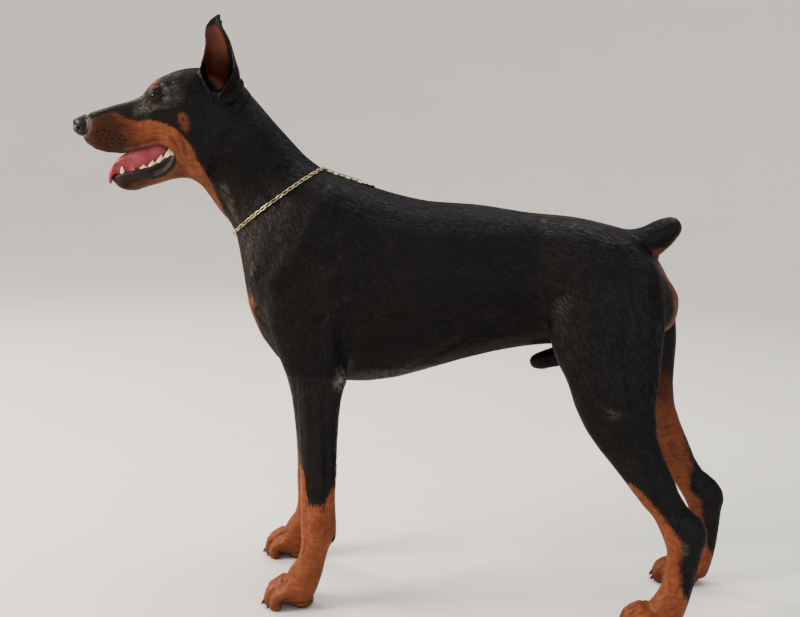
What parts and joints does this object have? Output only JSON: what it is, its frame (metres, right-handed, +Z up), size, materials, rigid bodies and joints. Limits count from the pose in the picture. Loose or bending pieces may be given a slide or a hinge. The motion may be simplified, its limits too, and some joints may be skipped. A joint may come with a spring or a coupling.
{
  "type": "doberman pinscher model",
  "caption": "Still life-size model of a standing doberman pinscher with cropped ears, docked tail, open mouth and chain collar, standing on its own paws.",
  "frame": {"origin": "on the floor under the middle of the bounding box", "axes": "+X from nose to tail along the body, +Z up from the floor, -Y the dog's left side"},
  "size_m": [1.0786, 0.259, 0.953],
  "materials": {
    "black_coat": "short glossy black hair lying flat",
    "rust_coat": "short rust red hair lying flat",
    "nose_leather": "moist pebbled black nose leather",
    "tongue_flesh": "moist pink tongue",
    "eye": "wet dark brown eye",
    "collar_metal": "worn warm-toned chain"
  },
  "bodies": {
    "root": {"head": "black_coat", "neck": "black_coat", "torso": "black_coat", "tail": "black_coat", "ear_left": "black_coat", "ear_right": "black_coat", "front_leg_left": "black_coat", "front_leg_right": "black_coat", "hind_thigh_left": "black_coat", "hind_thigh_right": "black_coat", "hind_shank_left": "black_coat", "hind_shank_right": "black_coat", "lower_jaw": "rust_coat", "front_paw_left": "rust_coat", "front_paw_right": "rust_coat", "hind_paw_left": "rust_coat", "hind_paw_right": "rust_coat", "nose": "nose_leather", "tongue": "tongue_flesh", "eye_left": "eye", "eye_right": "eye", "chain_collar": "collar_metal"}
  },
  "joints": []
}
